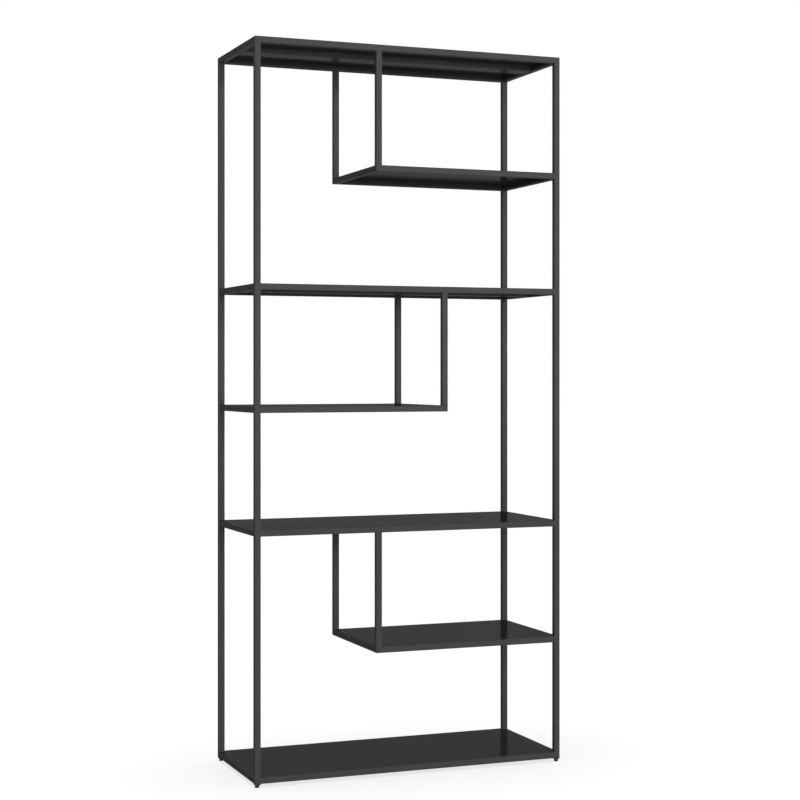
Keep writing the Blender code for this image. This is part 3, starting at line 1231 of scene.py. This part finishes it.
@dataclass(frozen=True)
class Studio:
    """Pale floor, white surround, soft lamps and the camera.

    The camera, reflections and rays through glass all see the same white floor and surround. The
    softboxes light all but the floor. They stand low, so the shelves' upper and lower faces get
    less of their light than the front ones. A soft light from straight above lights the floor
    alone, for the unit's shadow, and the unit gets only what the floor bounces back of it.
    """

    floor_reach: float = 40.0
    floor_bounce: float = 0.22
    floor_glow: float = 0.78
    floor_shade: float = 0.22
    floor_light_angle: float = math.radians(24.0)
    fill: float = 0.05
    lamps: tuple[Softbox, ...] = (
        Softbox("front_softbox", (0.4, -8.5, 2.0), (0.0, 0.0, 1.0), (12.0, 3.2), 5.2),
        Softbox("left_softbox", (-5.2, 3.4, 1.3), (0.0, 0.0, 0.9), (3.0, 2.2), 0.15),
        Softbox("right_softbox", (5.8, 4.05, 0.6), (0.0, 0.0, 0.9), (3.2, 1.2), 30.0),
        Softbox("back_softbox", (0.0, 6.5, 1.3), (0.0, 0.0, 0.9), (1.6, 2.2), 7.0),
    )
    camera_location: tuple[float, float, float] = (-1.602068, -4.601776, 0.991726)
    camera_heading: float = math.radians(23.410)
    camera_sensor: float = 36.0
    camera_lens: float = 85.393
    camera_shift: tuple[float, float] = (-0.1604, -0.0331)
    camera_sight: float = 200.0

    def shows_white(self, graph: Graph) -> NodeSocket:
        """Which rays see white.

        Args:
            graph: The graph of the material or the world that asks.

        Returns:
            1 for a ray from the camera, from a reflection or through glass, 0 for bounced light.
        """
        path = graph.add("ShaderNodeLightPath").outputs
        mirrored = graph.math("MAXIMUM", path["Is Camera Ray"], path["Is Glossy Ray"])
        return graph.math("MAXIMUM", mirrored, path["Is Transmission Ray"])

    def floor_material(self) -> Material:
        """Pale paper for bounced light, and white less the unit's shadow where the floor is seen.

        Returns:
            The floor's material.
        """
        material = bpy.data.materials.new("pale_floor")
        material.use_nodes = True
        material.cycles.emission_sampling = "NONE"
        graph = Graph(material.node_tree)
        graph.tree.nodes.clear()
        paper, shade = (graph.add("ShaderNodeBsdfDiffuse", {"Color": (*neutral(level), 1.0)}).outputs[0]
                        for level in (self.floor_bounce, self.floor_shade))
        white = {"Color": (1.0, 1.0, 1.0, 1.0), "Strength": self.floor_glow}
        glow = graph.add("ShaderNodeEmission", white).outputs[0]
        seen = graph.add("ShaderNodeAddShader", {0: shade, 1: glow}).outputs[0]
        mixed = graph.add("ShaderNodeMixShader", {0: self.shows_white(graph), 1: paper, 2: seen})
        graph.add("ShaderNodeOutputMaterial", {"Surface": mixed.outputs[0]})
        return material

    def build_floor(self) -> Object:
        """Lay the floor.

        Returns:
            The floor.
        """
        reach = self.floor_reach
        corners = [(-reach, -reach, 0.0), (reach, -reach, 0.0), (reach, reach, 0.0), (-reach, reach, 0.0)]
        mesh = bpy.data.meshes.new("floor")
        mesh.from_pydata(corners, [], [(0, 1, 2, 3)])
        mesh.materials.append(self.floor_material())
        floor = add_object("floor", mesh)
        return floor

    def aim_light(self, lamp: Object, floor: Object, reach: Reach) -> None:
        """Say what a lamp lights.

        Args:
            lamp: The lamp.
            floor: The floor.
            reach: Whether it lights the floor alone or everything else.
        """
        receivers = bpy.data.collections.new(f"{lamp.name}_receivers")
        receivers.objects.link(floor)
        receivers.collection_objects[0].light_linking.link_state = reach.value
        lamp.light_linking.receiver_collection = receivers

    def build_floor_light(self) -> Object:
        """Hang the floor's soft light, at a level where white paper is white.

        Returns:
            The lamp.
        """
        data = bpy.data.lights.new("floor_light", "SUN")
        data.energy, data.angle = math.pi, self.floor_light_angle
        return add_object("floor_light", data)

    def build_surround(self) -> None:
        """Set the world: white where it is seen, also in reflections, and plain fill for bounced light."""
        world = bpy.data.worlds.new("studio")
        world.use_nodes = True
        world.cycles.sampling_method = "NONE"
        bpy.context.scene.world = world
        graph = Graph(world.node_tree)
        graph.tree.nodes.clear()
        strength = graph.span(self.shows_white(graph), (0.0, 1.0), (self.fill, 1.0))
        background = graph.add("ShaderNodeBackground", {"Color": (1.0, 1.0, 1.0, 1.0), "Strength": strength})
        graph.add("ShaderNodeOutputWorld", {"Surface": background.outputs[0]})

    def build_camera(self) -> None:
        """Set the camera level, turned to the right, with the frame's shift."""
        data = bpy.data.cameras.new("camera")
        data.sensor_width, data.lens = self.camera_sensor, self.camera_lens
        data.shift_x, data.shift_y = self.camera_shift
        data.clip_end = self.camera_sight
        camera = add_object("camera", data)
        camera.location = self.camera_location
        camera.rotation_euler = (math.pi / 2, 0.0, -self.camera_heading)
        bpy.context.scene.camera = camera

    def build(self) -> None:
        """Set up the whole studio."""
        bpy.context.scene.view_settings.view_transform = "Standard"
        floor = self.build_floor()
        self.aim_light(self.build_floor_light(), floor, Reach.FLOOR_ALONE)
        self.build_surround()
        self.build_camera()
        for softbox in self.lamps:
            self.aim_light(softbox.build(), floor, Reach.ALL_BUT_FLOOR)
        LOG.info("studio: floor, surround, camera and %d lamps", len(self.lamps))


def main() -> None:
    """Build the unit from its posts to its feet, then the studio round it."""
    logging.basicConfig(level=logging.INFO, format="%(name)s: %(message)s")
    finishes = Finishes.made()
    CornerPosts().build(finishes)
    for index, side in enumerate(SHELF_SIDES):
        Shelf(index + 1, side).build(finishes)
    for y_name in Y_OUT:
        for x_name in X_OUT:
            Foot(f"{y_name}_{x_name}").build(finishes)
    Studio().build()


if __name__ == "__main__":
    main()
